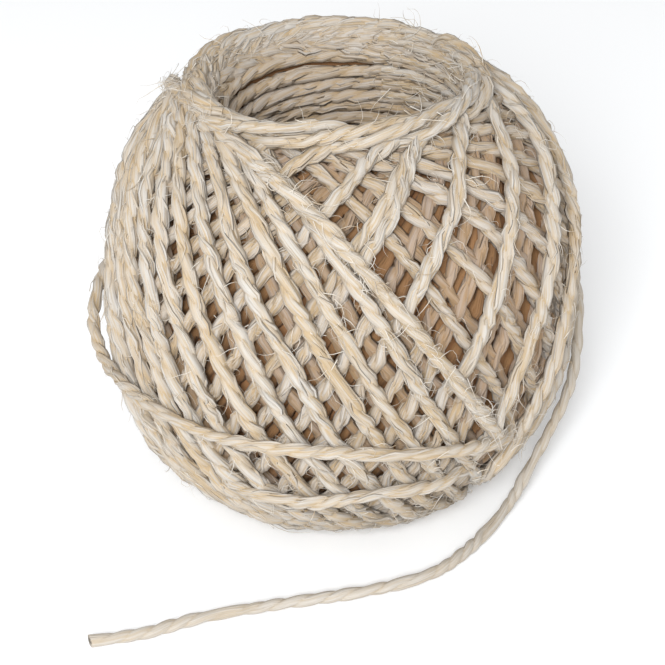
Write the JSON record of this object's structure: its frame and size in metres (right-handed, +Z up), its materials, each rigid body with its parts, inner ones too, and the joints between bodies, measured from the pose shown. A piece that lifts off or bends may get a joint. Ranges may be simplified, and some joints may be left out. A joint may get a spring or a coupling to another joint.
{
  "type": "ball of sisal twine",
  "caption": "Ball of two-ply sisal twine, wound crosswise with an open hole through its middle and a loose end lying in front.",
  "frame": {"origin": "on the surface the ball stands on, under the middle of the wound ball's outline", "axes": "+Z up along the hole, +X to the right as seen from the front, where the loose end lies at -Y"},
  "size_m": [0.1069, 0.1194, 0.093],
  "materials": {
    "sisal": "pale cream natural sisal fibre, two plies, slightly glossy along the fibres, darker brown in the gaps"
  },
  "bodies": {
    "root": {"wound_ball": "sisal", "loose_end": "sisal"}
  },
  "joints": []
}
